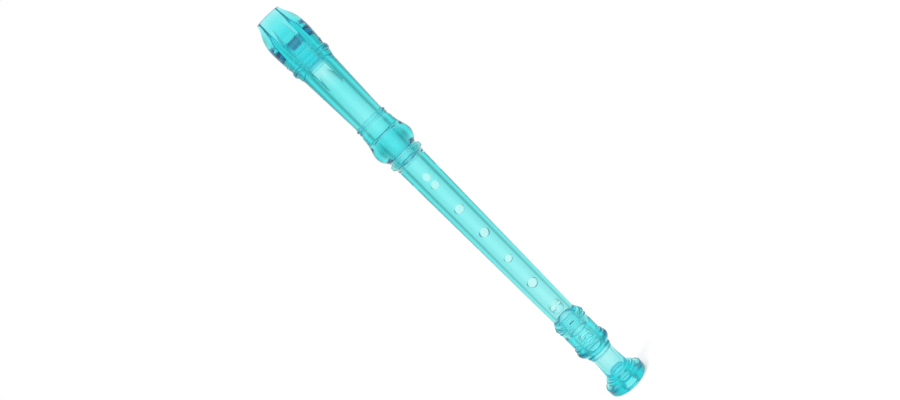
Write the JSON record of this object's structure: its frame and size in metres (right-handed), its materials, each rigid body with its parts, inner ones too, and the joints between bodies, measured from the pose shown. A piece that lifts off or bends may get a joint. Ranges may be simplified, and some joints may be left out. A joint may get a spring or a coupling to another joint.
{
  "type": "recorder",
  "caption": "Soprano recorder of clear tinted plastic: head joint with beak, block and window, tapered middle joint with finger holes, and belled foot joint that turns on its tenon.",
  "frame": {"origin": "centre of the foot joint's end face, on which the recorder stands", "axes": "+Z along the bore from the foot to the beak; the window and finger holes face -Y and the thumb hole faces +Y"},
  "size_m": [0.0298, 0.0298, 0.33],
  "materials": {
    "tinted_plastic": "clear aqua moulded plastic, polished mould, see-through",
    "block_plastic": "clear aqua moulded plastic, polished mould, see-through"
  },
  "bodies": {
    "middle": {"middle_joint": "tinted_plastic"},
    "head": {"head_joint": "tinted_plastic", "block": "block_plastic"},
    "foot": {"foot_joint": "tinted_plastic"}
  },
  "joints": [
    {"name": "head_slide", "type": "slide", "parent": "middle", "child": "head", "axis": [0, 0, 1], "range_m": [0, 0.0244]},
    {"name": "foot_turn", "type": "hinge", "parent": "middle", "child": "foot", "pos_m": [0, 0, 0.0556], "axis": [0, 0, 1], "continuous": true}
  ]
}
